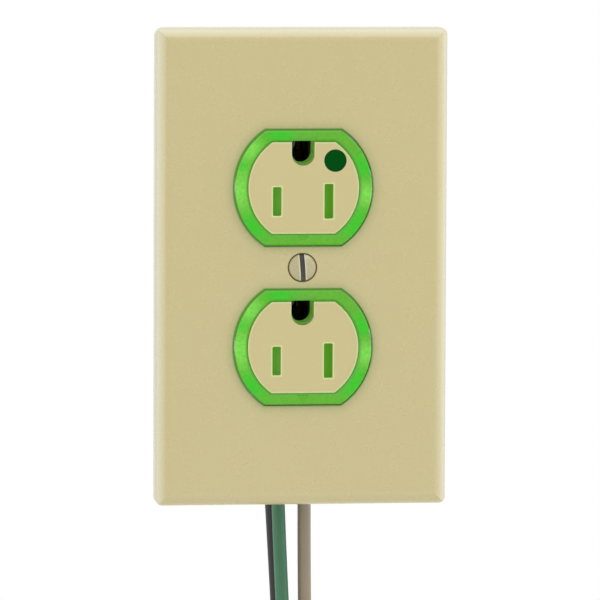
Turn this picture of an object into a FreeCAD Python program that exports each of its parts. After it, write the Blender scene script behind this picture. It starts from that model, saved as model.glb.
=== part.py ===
import FreeCAD, Part
import math
import os

# One lighted duplex wall outlet with its cover plate, strap and plug-in lead module.
# Millimetres. +X right, +Y into the wall, +Z up. Origin: midway between the two box
# screws, on the wall plane (the back of the strap's ears).
os.makedirs("parts", exist_ok=True)
V = FreeCAD.Vector

# ---- driving dimensions ----
PLATE_W = 70.1
PLATE_H = 114.2
PLATE_D = 6.0
PLATE_WALL = 2.3
PLATE_NOSE_SIDE = 3.5
PLATE_NOSE_END = 3.1
PLATE_CORNER = 2.2
OUTLET_Z = 19.05
RING_R = 16.35
RING_FLAT = 13.6
RING_SHIFT = 0.15
RING_FRONT = -7.2
OPENING_GAP = 0.4
INSERT_R = 13.3
INSERT_FLAT = 10.95
INSERT_FRONT = -6.85
INSERT_BACK = -5.45
INSERT_GAP = 0.1
INSERT_SHIFT = 0.15
BEVEL = 0.5
SLOT_X = 6.2
BLADE_X = 6.35
SLOT_DROP = 3.2
HOT_SLOT = (2.05, 6.9)
NEUTRAL_SLOT = (2.15, 8.3)
GROUND_RISE = 8.4
GROUND_R = 2.55
GROUND_TOP = 11.25
DOT_R = 2.65
DOT_AT = (7.7, 6.5)
BASE_HALF_W = 16.4
BASE_HALF_H = 34.2
BASE_FRONT = -3.5
BASE_BACK = -0.1
FLOOR_BACK = -4.2
SHUTTER_STROKE = 3.2
SHUTTER_IN = 4.45
SHUTTER_OUT = 8.25
SHUTTER_FRONT = -3.95
SHUTTER_BACK = -2.25
SHUTTER_HALF_H = 4.6
BODY_HALF_W = 16.3
BODY_HALF_H = 34.1
BODY_FRONT = 0.1
BODY_BACK = 25.0
BODY_WALL = 1.5
STRAP_T = 1.3
STRAP_BACK = 27.6
STRAP_TIP = 53.35
STRAP_WEB_Z = 35.7
SCREW_HEAD_R = 3.32
BOX_SCREW_Z = 41.67
BOX_SCREW_R = 1.75
MODULE_FRONT = 28.6
MODULE_BACK = 39.4
MODULE_HALF_W = 13.5
MODULE_TOP = 13.0
MODULE_BOTTOM = -14.0
LEAD_Y = 33.0
LEAD_R = 1.65
COPPER_R = 1.15
COPPER_LENGTH = 11.0
LEAD_TOP = -8.5
LATCH_Y = 35.0
LATCH_Z = 15.8


# ---- shape helpers ----
def box(x0, x1, y0, y1, z0, z1):
    return Part.makeBox(x1 - x0, y1 - y0, z1 - z0, V(x0, y0, z0))


def rod_x(r, y, z, x0, x1):
    return Part.makeCylinder(r, x1 - x0, V(x0, y, z), V(1, 0, 0))


def rod_y(r, x, z, y0, y1):
    return Part.makeCylinder(r, y1 - y0, V(x, y0, z), V(0, 1, 0))


def rod_z(r, x, y, z0, z1):
    return Part.makeCylinder(r, z1 - z0, V(x, y, z0), V(0, 0, 1))


def cone_y(r0, r1, x, z, y0, y1):
    return Part.makeCone(r0, r1, y1 - y0, V(x, y0, z), V(0, 1, 0))


def round_edges(shape, radius, direction):
    """Fillet the straight edges that run along one axis."""
    picked = []
    for edge in shape.Edges:
        if edge.Curve.TypeId == "Part::GeomLine":
            run = edge.Vertexes[-1].Point.sub(edge.Vertexes[0].Point)
            if abs(abs(run.normalize().dot(direction)) - 1) < 1e-6:
                picked.append(edge)
    return shape.makeFillet(radius, picked)


def block(x0, x1, y0, y1, z0, z1, radius, direction):
    return round_edges(box(x0, x1, y0, y1, z0, z1), radius, direction)


def front_edges(shape, y):
    """Edges that lie wholly in the plane at this depth."""
    picked = []
    for edge in shape.Edges:
        bound = edge.BoundBox
        if abs(bound.YMin - y) < 1e-5 and abs(bound.YMax - y) < 1e-5:
            picked.append(edge)
    return picked


def face_prism(radius, flat, zc, y0, y1, xc=0.0):
    """The outlet face outline: a circle cut by a flat above and below."""
    disc = rod_y(radius, xc, zc, y0, y1)
    keep = box(-radius - 1, radius + 1, y0 - 1, y1 + 1, zc - flat, zc + flat)
    return disc.common(keep)


def pocket_prism(zc, y0, y1, grow):
    """The face piece's outline, which sits a hair to the right of its ring."""
    return face_prism(INSERT_R + grow, INSERT_FLAT + grow, zc, y0, y1, INSERT_SHIFT)


def u_prism(half_w, z_round, z_top, y0, y1):
    """The earth-pin outline: round below, square above."""
    low = rod_y(half_w, 0, z_round, y0, y1)
    return low.fuse(box(-half_w, half_w, y0, y1, z_round, z_top)).removeSplitter()


def prism_z(points, z0, z1):
    """Extrude a polygon given as (x, y) pairs along Z."""
    corners = [V(x, y, z0) for x, y in points]
    face = Part.Face(Part.makePolygon(corners + [corners[0]]))
    return face.extrude(V(0, 0, z1 - z0))


def prism_x(points, x0, x1):
    """Extrude a polygon given as (y, z) pairs along X."""
    corners = [V(x0, y, z) for y, z in points]
    face = Part.Face(Part.makePolygon(corners + [corners[0]]))
    return face.extrude(V(x1 - x0, 0, 0))


def joined(shapes):
    first = shapes[0]
    return first.fuse(shapes[1:]).removeSplitter() if len(shapes) > 1 else first


def group(shapes):
    return Part.makeCompound(shapes)


def mirror_x(shape):
    return shape.mirror(V(0, 0, 0), V(1, 0, 0))


def unit(vector):
    return V(vector).multiply(1 / vector.Length)


def coil(radius, wire_r, pitch, length, start, direction):
    """A round-wire spring of the given free length."""
    helix = Part.makeHelix(pitch, length, radius)
    ring = Part.Wire(Part.makeCircle(wire_r, V(radius, 0, 0), V(0, 1, 0)))
    spring = Part.Wire(helix).makePipeShell([ring], True, True)
    turn = FreeCAD.Rotation(V(0, 0, 1), direction)
    spring.Placement = FreeCAD.Placement(start, turn)
    return spring


def route(points):
    """Straight runs joined by tangent arcs. Returns the wire, length and arc radii."""
    edges = []
    radii = []
    here = points[0]
    for before, corner, after in zip(points, points[1:], points[2:]):
        way_in = corner.sub(before)
        way_out = after.sub(corner)
        half = way_in.getAngle(way_out) / 2
        back = 0.45 * min(way_in.Length, way_out.Length)
        radius = back / math.tan(half)
        start = corner.sub(unit(way_in).multiply(back))
        end = corner.add(unit(way_out).multiply(back))
        inward = unit(unit(way_out).sub(unit(way_in)))
        centre = corner.add(V(inward).multiply(radius / math.cos(half)))
        middle = centre.sub(V(inward).multiply(radius))
        edges.append(Part.LineSegment(here, start).toShape())
        edges.append(Part.Arc(start, middle, end).toShape())
        radii.append(radius)
        here = end
    edges.append(Part.LineSegment(here, points[-1]).toShape())
    wire = Part.Wire(edges)
    return wire, wire.Length, radii


def tube(points, radius):
    wire, length, radii = route(points)
    first = unit(points[1].sub(points[0]))
    ring = Part.Wire(Part.makeCircle(radius, points[0], first))
    solid = wire.makePipeShell([ring], True, False)
    return solid, length, radii


# ---- cover plate ----
def nose_prism(half, radius, along, low, high):
    """The plate's cross-section with its rounded front edges, extruded along X or Z."""
    depth = PLATE_D
    k = math.sqrt(0.5)

    def at(side, y):
        return V(side, y, low) if along == "z" else V(low, y, side)

    right = half - radius
    inner = depth - radius
    edges = [
        Part.LineSegment(at(-half, 0), at(-half, -inner)).toShape(),
        Part.Arc(
            at(-half, -inner),
            at(-right - k * radius, -inner - k * radius),
            at(-right, -depth),
        ).toShape(),
        Part.LineSegment(at(-right, -depth), at(right, -depth)).toShape(),
        Part.Arc(
            at(right, -depth),
            at(right + k * radius, -inner - k * radius),
            at(half, -inner),
        ).toShape(),
        Part.LineSegment(at(half, -inner), at(half, 0)).toShape(),
        Part.LineSegment(at(half, 0), at(-half, 0)).toShape(),
    ]
    face = Part.Face(Part.Wire(edges))
    run = V(0, 0, high - low) if along == "z" else V(high - low, 0, 0)
    return face.extrude(run)


def wall_plate():
    w = PLATE_W / 2
    h = PLATE_H / 2
    shell = nose_prism(w, PLATE_NOSE_SIDE, "z", -h, h)
    shell = shell.common(nose_prism(h, PLATE_NOSE_END, "x", -w, w))
    plan = block(-w, w, -PLATE_D - 1, 1, -h, h, PLATE_CORNER, V(0, 1, 0))
    shell = shell.common(plan)
    t = PLATE_WALL
    hollow = block(-w + t, w - t, t - PLATE_D, 1, -h + t, h - t, 1.2, V(0, 1, 0))
    shell = shell.cut(hollow)
    ribs = []
    for side in (-1, 1):
        for z in (-40.0, -19.05, 0.0, 19.05, 40.0):
            x0, x1 = sorted((side * 18.4, side * (w - t + 0.5)))
            ribs.append(box(x0, x1, t - PLATE_D - 0.2, -1.0, z - 0.6, z + 0.6))
    shell = shell.fuse(ribs)
    for zc in (OUTLET_Z, -OUTLET_Z):
        g = OPENING_GAP
        hole = face_prism(RING_R + g, RING_FLAT + g, zc, -PLATE_D - 1, 0)
        hole.translate(V(RING_SHIFT, 0, 0))
        shell = shell.cut(hole)
    sink = cone_y(SCREW_HEAD_R + 0.18, 1.95, 0, 0, -PLATE_D, -PLATE_D + 1.7)
    shell = shell.cut(sink.fuse(rod_y(1.95, 0, 0, -PLATE_D + 1.6, 0)))
    return shell.removeSplitter()


def plate_screw():
    """Oval-head slotted machine screw, its slot a little off upright."""
    head = cone_y(SCREW_HEAD_R, 1.7, 0, 0, -5.95, -4.3)
    dome_r = (SCREW_HEAD_R**2 + 0.75**2) / (2 * 0.75)
    ball = Part.makeSphere(dome_r, V(0, -6.7 + dome_r, 0))
    dome = ball.common(rod_y(SCREW_HEAD_R, 0, 0, -6.8, -5.95))
    shank = rod_y(1.7, 0, 0, -4.35, 15.0)
    tip = cone_y(1.7, 1.1, 0, 0, 15.0, 15.9)
    screw = joined([head, dome, shank, tip])
    slot = box(-0.575, 0.575, -8.0, -5.7, -5.0, 5.0)
    slot.rotate(V(0, 0, 0), V(0, 1, 0), -4.0)
    return screw.cut(slot)


# ---- front moulding ----
def slot_prism(x, zc, size, extra, y0, y1):
    w, h = size
    z = zc - SLOT_DROP
    a = w / 2 + extra
    b = h / 2 + extra
    return block(x - a, x + a, y0, y1, z - b, z + b, 0.35, V(0, 1, 0))


def blade_slots(zc, extra, y0, y1):
    hot = slot_prism(-SLOT_X, zc, HOT_SLOT, extra, y0, y1)
    neutral = slot_prism(SLOT_X, zc, NEUTRAL_SLOT, extra, y0, y1)
    return [hot, neutral]


def raised_ring(zc):
    """One raised face boss with a bevelled rim and a bevelled pocket mouth."""
    boss = face_prism(RING_R, RING_FLAT, zc, RING_FRONT, BASE_FRONT + 0.6)
    boss.translate(V(RING_SHIFT, 0, 0))
    boss = boss.makeChamfer(0.25, front_edges(boss, RING_FRONT))
    g = INSERT_GAP
    boss = boss.cut(pocket_prism(zc, RING_FRONT - 1, INSERT_BACK, g))
    mouth = []
    for edge in front_edges(boss, RING_FRONT):
        bound = edge.BoundBox
        reach = max(abs(bound.XMin), abs(bound.XMax)) - INSERT_SHIFT
        rise = max(abs(bound.ZMin - zc), abs(bound.ZMax - zc))
        if reach < INSERT_R + g + 0.05 and rise < INSERT_FLAT + g + 0.05:
            mouth.append(edge)
    boss = boss.makeChamfer(BEVEL, mouth)
    key = rod_y(1.3, 0, zc - INSERT_FLAT - 0.1, RING_FRONT - 1, RING_FRONT + 0.3)
    low = zc + INSERT_FLAT - 0.5
    top = zc + INSERT_FLAT + 1.5
    dip = prism_x([(RING_FRONT - 1, low), (RING_FRONT - 1, top + 1), (RING_FRONT, top),
                   (RING_FRONT + 0.35, top - 0.6), (RING_FRONT + 0.35, low)], -3.2, 3.2)
    return boss.cut([key, dip])


def lens_cover():
    base = block(
        -BASE_HALF_W, BASE_HALF_W, BASE_FRONT, BASE_BACK,
        -BASE_HALF_H, BASE_HALF_H, 1.2, V(0, 1, 0),
    )
    lens = base.fuse([raised_ring(OUTLET_Z), raised_ring(-OUTLET_Z)])
    cuts = [rod_y(2.2, 0, 0, BASE_FRONT - 1, BASE_BACK + 1)]
    for zc in (OUTLET_Z, -OUTLET_Z):
        g = INSERT_GAP
        cuts.append(pocket_prism(zc, RING_FRONT - 1, INSERT_BACK, g))
        cuts += blade_slots(zc, 0.1, INSERT_BACK - 1, BASE_BACK + 1)
        z = zc - SLOT_DROP
        cuts.append(box(-8.9, 8.9, FLOOR_BACK, 1.0, z - 5.2, z + 5.2))
        rise = zc + GROUND_RISE
        cuts.append(u_prism(GROUND_R, rise, zc + GROUND_TOP, RING_FRONT - 1, 1.0))
    for x, z in RIVETS:
        cuts.append(rod_y(1.25, x, z, BASE_FRONT - 1, BASE_BACK + 1))
        cuts.append(rod_y(2.1, x, z, BASE_FRONT - 1, BASE_FRONT + 0.8))
    return lens.cut(cuts).removeSplitter()


def face_insert(zc, dotted):
    face = pocket_prism(zc, INSERT_FRONT, INSERT_BACK, 0.0)
    face = face.makeFillet(0.15, front_edges(face, INSERT_FRONT))
    cuts = blade_slots(zc, 0.0, INSERT_FRONT - 1, INSERT_BACK + 1)
    notch_z = zc + GROUND_RISE - 0.35
    cuts.append(u_prism(2.75, notch_z, zc + 12.0, INSERT_FRONT - 1, INSERT_BACK + 1))
    if dotted:
        x, z = DOT_AT
        cuts.append(rod_y(DOT_R + 0.03, x, zc + z, INSERT_FRONT - 1, INSERT_FRONT + 0.3))
    return face.cut(cuts)


def grade_dot():
    x, z = DOT_AT
    return rod_y(DOT_R, x, OUTLET_Z + z, INSERT_FRONT - 0.02, INSERT_FRONT + 0.29)


# ---- tamper-resistant shutters ----
def shutter(zc, side):
    """A sliding block whose sloped front turns a blade's push into sideways travel."""
    z = zc - SLOT_DROP
    outline = [
        (-SHUTTER_OUT, SHUTTER_BACK),
        (-SHUTTER_IN, SHUTTER_BACK),
        (-SHUTTER_IN, SHUTTER_FRONT),
        (-5.1, SHUTTER_FRONT),
        (-SHUTTER_OUT, -2.9),
    ]
    part = prism_z(outline, z - SHUTTER_HALF_H, z + SHUTTER_HALF_H)
    stub = rod_x(0.6, -3.1, z, -SHUTTER_IN - 0.2, -SHUTTER_IN + 0.8)
    part = part.fuse(stub).removeSplitter()
    return part if side < 0 else mirror_x(part)


def shutter_spring(zc):
    z = zc - SLOT_DROP
    length = 2 * SHUTTER_IN - 0.26
    start = V(-length / 2, -3.1, z)
    return coil(0.78, 0.12, length / 7, length, start, V(1, 0, 0))


def shutter_deck(zc):
    """The inner floor the shutters slide on, with its own blade slots."""
    z = zc - SLOT_DROP
    deck = block(-8.7, 8.7, -2.1, -0.9, z - 5.0, z + 5.0, 0.5, V(0, 1, 0))
    return deck.cut(blade_slots(zc, 0.15, -3.0, 0.0))


# ---- rear body ----
RIVETS = [(13.3, 31.6), (-13.3, 31.6), (13.3, -31.6), (-13.3, -31.6), (13.6, 0), (-13.6, 0)]


def back_body():
    w = BODY_HALF_W
    h = BODY_HALF_H
    t = BODY_WALL
    body = block(-w, w, BODY_FRONT, BODY_BACK, -h, h, 1.2, V(0, 1, 0))
    floor = BODY_BACK - 1.6
    body = body.cut(box(-w + t, w - t, BODY_FRONT - 1, floor, -h + t, h - t))
    adds = []
    for x in (-4.3, 4.3):
        adds.append(box(x - 0.45, x + 0.45, 3.2, floor + 0.2, -h + t - 0.2, h - t + 0.2))
    for z in (5.0, -5.0):
        for side in (-1, 1):
            x0, x1 = sorted((side * 11.6, side * (w - t + 0.2)))
            adds.append(box(x0, x1, 3.2, floor + 0.2, z - 0.5, z + 0.5))
    for x, z in RIVETS:
        adds.append(rod_y(2.2, x, z, 0.6, floor + 0.2))
    adds.append(rod_y(4.2, 0, 0, 3.2, 20.0))
    body = body.fuse(adds)
    keep = block(-w, w, BODY_FRONT, BODY_BACK, -h, h, 1.2, V(0, 1, 0))
    body = body.common(keep)
    cuts = [rod_y(3.06, 0, 0, 3.0, 9.0), rod_y(1.95, 0, 0, 8.0, 17.0)]
    for x, z in RIVETS:
        cuts.append(rod_y(1.25, x, z, 0, BODY_BACK + 1))
        cuts.append(rod_y(2.1, x, z, BODY_BACK - 0.8, BODY_BACK + 1))
    for x in (-BLADE_X, BLADE_X):
        cuts.append(box(x - 0.6, x + 0.6, floor - 1, BODY_BACK + 1, -3.2, 3.2))
    for zc in (OUTLET_Z, -OUTLET_Z):
        z = zc + 8.7
        cuts.append(box(-2.7, 2.7, floor - 1, BODY_BACK + 1, z - 3.1, z + 3.1))
    return body.cut(cuts).removeSplitter()


def screw_bushing():
    """Brass threaded bush for the cover-plate screw."""
    bush = rod_y(3.0, 0, 0, 3.3, 8.9)
    return bush.cut(rod_y(1.77, 0, 0, 3.0, 9.2))


def body_rivets():
    rivets = []
    for x, z in RIVETS:
        shank = rod_y(1.2, x, z, BASE_FRONT + 0.1, BODY_BACK - 0.1)
        front = cone_y(2.0, 1.2, x, z, BASE_FRONT + 0.05, BASE_FRONT + 0.75)
        rear = cone_y(1.2, 2.0, x, z, BODY_BACK - 0.75, BODY_BACK - 0.05)
        rivet = joined([shank, front, rear])
        rivets.append(rivet.cut(rod_y(0.6, x, z, BODY_BACK - 1.2, BODY_BACK + 1)))
    return group(rivets)


# ---- strap and earth parts ----
def mounting_strap():
    w = 13.0
    parts = []
    for side in (-1, 1):
        z0, z1 = sorted((side * (STRAP_WEB_Z - STRAP_T), side * STRAP_TIP))
        tongue = block(-9.5, 9.5, -STRAP_T, 0, z0, z1, 0.8, V(0, 1, 0))
        y0, y1 = sorted((side * 45.6, side * STRAP_TIP))
        wings = block(-16.4, 16.4, -STRAP_T, 0, y0, y1, 2.4, V(0, 1, 0))
        ear = tongue.fuse(wings)
        z = side * BOX_SCREW_Z
        slot = box(-2.2, 2.2, -3, 2, z - 2.15, z + 2.15)
        slot = slot.fuse([rod_y(2.15, -2.2, z, -3, 2), rod_y(2.15, 2.2, z, -3, 2)])
        cuts = [slot.removeSplitter()]
        for x in (-9.5, 9.5):
            for near in (46.6, 49.5, 52.4):
                cuts.append(rod_y(0.55, x, side * near, -3, 2))
        ear = ear.cut(cuts)
        z0, z1 = sorted((side * (STRAP_WEB_Z - STRAP_T), side * STRAP_WEB_Z))
        web = box(-9.5, 9.5, -STRAP_T, STRAP_BACK, z0, z1)
        parts += [ear, web]
    rear = box(-w, w, STRAP_BACK - STRAP_T, STRAP_BACK, -STRAP_WEB_Z, STRAP_WEB_Z)
    rear = round_edges(rear, 2.0, V(0, 1, 0))
    parts.append(rear)
    strap = joined(parts)
    cuts = [
        block(-9.4, 9.4, 20, 30, -6.0, 6.6, 1.0, V(0, 1, 0)),
        box(-3.4, 3.4, 20, 30, 14.9, 18.2),
    ]
    for z in GROUND_RIVETS:
        cuts.append(rod_y(1.25, 0, z, 20, 30))
    return strap.cut(cuts).removeSplitter()


GROUND_RIVETS = [OUTLET_Z + 8.7, 10.6, -OUTLET_Z + 8.7]


def ground_contact(zc):
    """Two spring fingers for the earth pin, with a foot against the strap."""
    z = zc + 8.7
    parts = []
    for side in (-1, 1):
        x0, x1 = sorted((side * 2.45, side * 3.05))
        parts.append(box(x0, x1, 3.6, 18.6, z - 3.0, z + 3.0))
    parts.append(box(-3.05, 3.05, 18.0, 18.6, z - 3.0, z + 3.0))
    parts.append(box(-2.4, 2.4, 18.6, 26.3, z + 2.1, z + 2.8))
    parts.append(box(-2.4, 2.4, 25.6, 26.3, z - 2.8, z + 2.8))
    contact = joined(parts)
    relief = rod_y(2.1, 0, z, 17, 19)
    return contact.cut([rod_y(1.25, 0, z, 25, 27), relief])


def ground_blade():
    """Earth blade for the plug-in module, riveted to the strap."""
    foot = box(-2.5, 2.5, STRAP_BACK, STRAP_BACK + 0.8, 7.2, 12.8)
    blade = box(-2.5, 2.5, STRAP_BACK, 35.6, 7.2, 8.0)
    part = joined([foot, blade])
    return part.cut(rod_y(1.25, 0, GROUND_RIVETS[1], 20, 30))


def ground_rivets():
    rivets = []
    for i, z in enumerate(GROUND_RIVETS):
        front = 25.6 if i != 1 else 26.3
        back = STRAP_BACK if i != 1 else STRAP_BACK + 0.8
        shank = rod_y(1.2, 0, z, front - 0.5, back + 0.5)
        head = rod_y(1.9, 0, z, front - 0.6, front)
        tail = cone_y(1.9, 1.3, 0, z, back, back + 0.6)
        rivets.append(joined([shank, head, tail]))
    return group(rivets)


def box_screws():
    screws = []
    for side in (-1, 1):
        z = side * BOX_SCREW_Z
        head = rod_y(3.4, 0, z, -3.3, -STRAP_T)
        head = head.makeFillet(0.6, front_edges(head, -3.3))
        neck = rod_y(BOX_SCREW_R - 0.4, 0, z, -STRAP_T, 0.0)
        shank = rod_y(BOX_SCREW_R, 0, z, 0.0, 18.6)
        tip = cone_y(BOX_SCREW_R, 1.0, 0, z, 18.6, 19.6)
        screw = joined([head, neck, shank, tip])
        slot = box(-0.5, 0.5, -5, -2.4, z - 4, z + 4)
        slot.rotate(V(0, 0, z), V(0, 1, 0), 25 * side)
        screws.append(screw.cut(slot))
    return group(screws)


# ---- current-carrying parts ----
def contact_bus(side, size):
    """One brass bus: a side strip, two blade contacts and a rear blade."""
    parts = [box(-11.2, -10.5, 8.0, 19.0, -27.0, 22.0)]
    half = size[1] / 2
    for zc in (OUTLET_Z, -OUTLET_Z):
        z = zc - SLOT_DROP
        for x in (-7.7, -5.5):
            parts.append(box(x, x + 0.5, 3.4, 15.0, z - half, z + half))
        parts.append(box(-7.7, -5.0, 14.4, 15.0, z - half, z + half))
        parts.append(box(-11.2, -7.2, 14.4, 15.0, z - half, z + half))
    parts.append(box(-11.2, -5.9, 18.2, 19.0, -2.5, 2.5))
    parts.append(box(-6.7, -5.95, 18.2, 35.6, -2.5, 2.5))
    bus = joined(parts)
    notch = box(-12, -10, 7.0, 9.5, -8.5, -6.5)
    bus = bus.cut([notch, box(-12, -10, 17.6, 20.0, -8.5, -6.5)])
    return bus if side < 0 else mirror_x(bus)


def led_board():
    board = box(-11.4, 11.4, 0.9, 2.1, -6.0, 6.0)
    cuts = [rod_y(3.6, 0, 0, 0, 3)]
    for x in (-13.6, 13.6):
        cuts.append(rod_y(2.4, x, 0, 0, 3))
    return board.cut(cuts)


def leds():
    lamps = []
    for x in (-7.4, 7.4):
        for z in (-4.2, 4.2):
            base = box(x - 1.3, x + 1.3, 0.3, 0.88, z - 1.0, z + 1.0)
            lens = rod_y(0.8, x, z, 0.02, 0.32)
            lamps.append(joined([base, lens]))
    return group(lamps)


def dropping_resistor():
    body = rod_x(0.8, 2.95, 5.1, -3.0, 3.0)
    return body.makeFillet(0.3, [e for e in body.Edges if e.Curve.TypeId == "Part::GeomCircle"])


def board_diode():
    body = rod_x(0.7, 2.95, -5.1, -2.2, 2.2)
    return joined([body, rod_x(0.78, 2.95, -5.1, 1.1, 1.6)])


def board_springs():
    """Two leaf contacts from the lamp board to the buses."""
    leaf = joined([
        box(-10.4, -9.2, 2.15, 2.45, -1.2, 1.2),
        box(-10.4, -10.1, 2.15, 12.0, -1.2, 1.2),
    ])
    return group([leaf, mirror_x(leaf)])


# ---- plug-in lead module ----
def module_housing():
    w = MODULE_HALF_W
    shell = block(
        -w, w, MODULE_FRONT, MODULE_BACK, MODULE_BOTTOM, MODULE_TOP, 1.5, V(0, 1, 0)
    )
    cavity = []
    for x0, x1 in ((-12.1, -3.9), (-3.1, 3.1), (3.9, 12.1)):
        cavity.append(box(x0, x1, 30.2, MODULE_BACK + 1, -8.4, 11.4))
    shell = shell.cut(cavity)
    cuts = []
    for x in LEAD_X:
        cuts.append(rod_z(LEAD_R + 0.1, x, LEAD_Y, MODULE_BOTTOM - 1, -7))
    for x in (-BLADE_X, BLADE_X):
        cuts.append(box(x - 0.6, x + 0.6, MODULE_FRONT - 1, 31, -2.8, 2.8))
    cuts.append(box(-2.8, 2.8, MODULE_FRONT - 1, 31, 6.9, 8.3))
    cuts.append(rod_y(2.3, 0, GROUND_RIVETS[1], MODULE_FRONT - 1, MODULE_FRONT + 0.7))
    cuts.append(box(-2.8, 2.8, MODULE_FRONT - 1, MODULE_FRONT + 0.2, 6.9, 13.2))
    shell = shell.cut(cuts)
    lugs = []
    for side in (-1, 1):
        x0, x1 = sorted((side * 3.4, side * 5.2))
        lug = box(x0, x1, LATCH_Y - 2.0, LATCH_Y + 2.0, MODULE_TOP - 0.5, LATCH_Z)
        cap = rod_x(2.0, LATCH_Y, LATCH_Z, x0, x1)
        lugs += [lug, cap]
    shell = shell.fuse(lugs)
    return shell.cut(rod_x(0.82, LATCH_Y, LATCH_Z, -6, 6)).removeSplitter()


def module_cover():
    w = MODULE_HALF_W
    y = MODULE_BACK + 0.02
    cover = block(-w, w, y, y + 1.8, MODULE_BOTTOM, MODULE_TOP, 1.5, V(0, 1, 0))
    cover = cover.makeFillet(0.5, front_edges(cover, y + 1.8))
    grips = []
    for i in range(5):
        z = -8.0 + 4.0 * i
        grips.append(box(-9.0, 9.0, y + 1.5, y + 2.5, z - 0.6, z + 0.6))
    return cover.cut(grips)


def module_contact(x, first_y, blade_z, flat):
    """A female contact that grips a blade, with a crimp barrel on its lead."""
    parts = []
    z = blade_z
    if flat:
        parts.append(box(x - 2.4, x + 2.4, 31.2, 36.4, z + 0.42, z + 0.9))
        parts.append(box(x - 2.4, x + 2.4, 31.2, 36.4, z - 0.9, z - 0.42))
        parts.append(box(x - 2.4, x + 2.4, 36.0, 36.5, z - 0.9, z + 0.9))
    else:
        for dx in (-0.9, 0.42):
            parts.append(box(x + dx, x + dx + 0.48, 31.2, 36.4, z - 2.4, z + 2.4))
        parts.append(box(x - 0.9, x + 0.9, 36.0, 36.5, z - 2.4, z + 2.4))
    near = first_y
    parts.append(box(near - 1.2, near + 1.2, 36.0, 36.5, -4.0, z + 0.2))
    if abs(near - x) > 0.01:
        x0, x1 = sorted((near, x))
        parts.append(box(x0 - 0.9, x1 + 0.9, 36.0, 36.5, z - 2.4, z + 0.2))
    parts.append(rod_z(1.5, near, LEAD_Y, LEAD_TOP, -3.4))
    parts.append(box(near - 1.2, near + 1.2, LEAD_Y, 36.5, -4.2, -3.4))
    return joined(parts)


LEAD_X = (-6.0, 0.0, 6.0)


def module_latch():
    hub = rod_x(1.6, LATCH_Y, LATCH_Z, -3.1, 3.1)
    arm = box(-2.8, 2.8, 25.3, 41.6, 15.2, 16.4)
    barb = box(-2.8, 2.8, 25.3, 26.1, 14.0, 15.4)
    tab = box(-4.2, 4.2, 38.2, 41.6, 15.2, 16.4)
    latch = joined([hub, arm, barb, tab])
    grips = [box(-5, 5, y, y + 0.4, 16.1, 17.0) for y in (38.8, 39.7, 40.6)]
    return latch.cut(grips + [rod_x(0.87, LATCH_Y, LATCH_Z, -4, 4)])


def module_latch_pin():
    return rod_x(0.8, LATCH_Y, LATCH_Z, -5.2, 5.2)


def latch_spring():
    length = 15.1 - MODULE_TOP - 0.36
    start = V(0, 38.0, MODULE_TOP + 0.18)
    return coil(1.1, 0.15, length / 3, length, start, V(0, 0, 1))


# ---- leads ----
BLACK = [(-6, 33, -8.5), (-6, 33, -24), (-3.4, 34.7, -45), (-1.95, 35.2, -68),
         (-0.4, 35.1, -95), (-0.9, 34.6, -125), (-1.6, 34.2, -154)]
GREEN = [(0, 33, -8.5), (0, 33, -24), (-1.7, 31.6, -45), (-0.95, 31.3, -68),
         (0.4, 31.4, -95), (1.9, 31.9, -125), (2.3, 32.6, -154)]
WHITE = [(6, 33, -8.5), (6, 33, -24), (5.5, 33.3, -45), (5.4, 33.0, -68),
         (5.7, 32.7, -95), (6.7, 33.1, -125), (7.2, 33.6, -154)]


def lead(points):
    """The insulation, and the bare copper that shows at the stripped end."""
    path = [V(*p) for p in points]
    sleeve, length, radii = tube(path, LEAD_R)
    way = unit(path[-1].sub(path[-2]))
    copper = Part.makeCylinder(COPPER_R, COPPER_LENGTH, path[-1], way)
    return sleeve, copper, length, radii


def save(name, shape):
    shape.exportStep("parts/" + name + ".step")
    print(name, "solids", len(shape.Solids), "volume", round(shape.Volume, 2),
          "ok" if shape.isValid() else "INVALID")


NODES = {
    "wall_plate": wall_plate(),
    "plate_screw": plate_screw(),
    "lens_cover": lens_cover(),
    "face_insert_upper": face_insert(OUTLET_Z, True),
    "face_insert_lower": face_insert(-OUTLET_Z, False),
    "grade_dot": grade_dot(),
    "shutter_hot_upper": shutter(OUTLET_Z, -1),
    "shutter_neutral_upper": shutter(OUTLET_Z, 1),
    "shutter_hot_lower": shutter(-OUTLET_Z, -1),
    "shutter_neutral_lower": shutter(-OUTLET_Z, 1),
    "shutter_spring_upper": shutter_spring(OUTLET_Z),
    "shutter_spring_lower": shutter_spring(-OUTLET_Z),
    "shutter_deck_upper": shutter_deck(OUTLET_Z),
    "shutter_deck_lower": shutter_deck(-OUTLET_Z),
    "back_body": back_body(),
    "screw_bushing": screw_bushing(),
    "body_rivets": body_rivets(),
    "mounting_strap": mounting_strap(),
    "ground_contact_upper": ground_contact(OUTLET_Z),
    "ground_contact_lower": ground_contact(-OUTLET_Z),
    "ground_blade": ground_blade(),
    "ground_rivets": ground_rivets(),
    "box_screws": box_screws(),
    "hot_bus": contact_bus(-1, HOT_SLOT),
    "neutral_bus": contact_bus(1, NEUTRAL_SLOT),
    "led_board": led_board(),
    "leds": leds(),
    "dropping_resistor": dropping_resistor(),
    "board_diode": board_diode(),
    "board_springs": board_springs(),
    "module_housing": module_housing(),
    "module_cover": module_cover(),
    "module_contact_hot": module_contact(-BLADE_X, LEAD_X[0], 0.0, False),
    "module_contact_ground": module_contact(0.0, LEAD_X[1], 7.6, True),
    "module_contact_neutral": module_contact(BLADE_X, LEAD_X[2], 0.0, False),
    "module_latch": module_latch(),
    "module_latch_pin": module_latch_pin(),
    "latch_spring": latch_spring(),
}

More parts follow.
